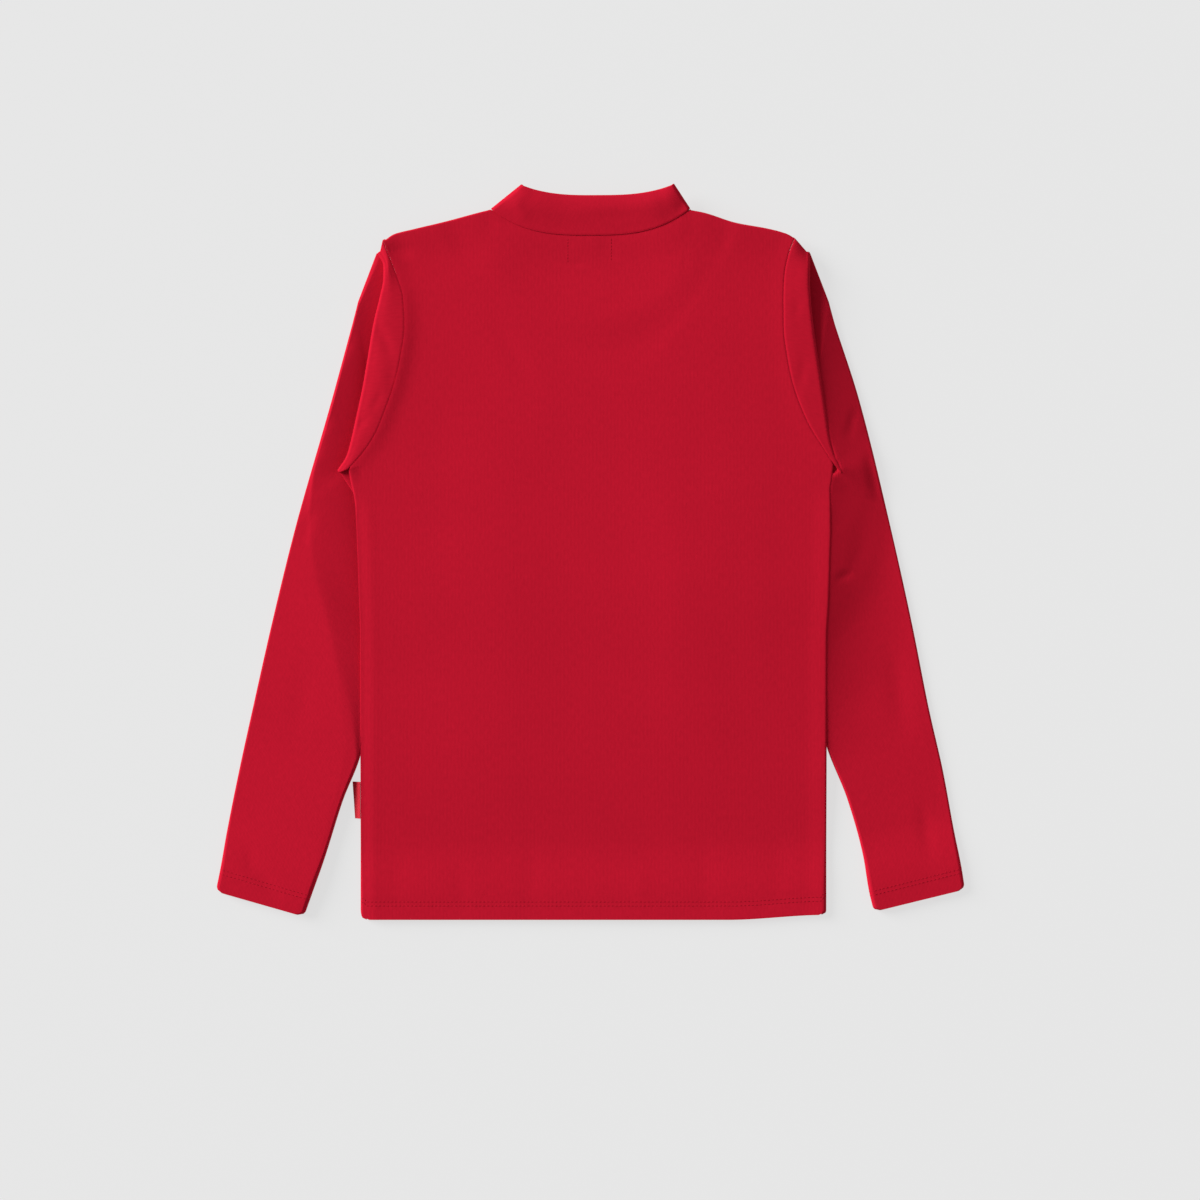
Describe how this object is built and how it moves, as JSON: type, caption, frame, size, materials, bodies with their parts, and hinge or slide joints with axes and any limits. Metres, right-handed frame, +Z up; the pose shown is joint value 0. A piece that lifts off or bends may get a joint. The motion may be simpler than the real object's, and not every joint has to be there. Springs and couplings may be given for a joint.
{
  "type": "christmas sweater",
  "caption": "Plain red fine-knit long-sleeved top with a stand collar, laid flat with its back up and its sleeves folded down beside the body.",
  "frame": {"origin": "centre of the underside: the middle of the overall box in plan, on the surface that the garment lies on", "axes": "+Z up, out of the back panel; +Y from the hem to the collar; +X to the right as seen from above with the collar away"},
  "size_m": [0.5986, 0.5861, 0.0098],
  "materials": {
    "red_knit": "matt fine double knit",
    "red_ribbon": "soft sheen woven ribbon"
  },
  "bodies": {
    "root": {"body_back": "red_knit", "body_front": "red_knit", "sleeve_left": "red_knit", "sleeve_right": "red_knit", "collar": "red_knit", "side_label": "red_ribbon"}
  },
  "joints": []
}
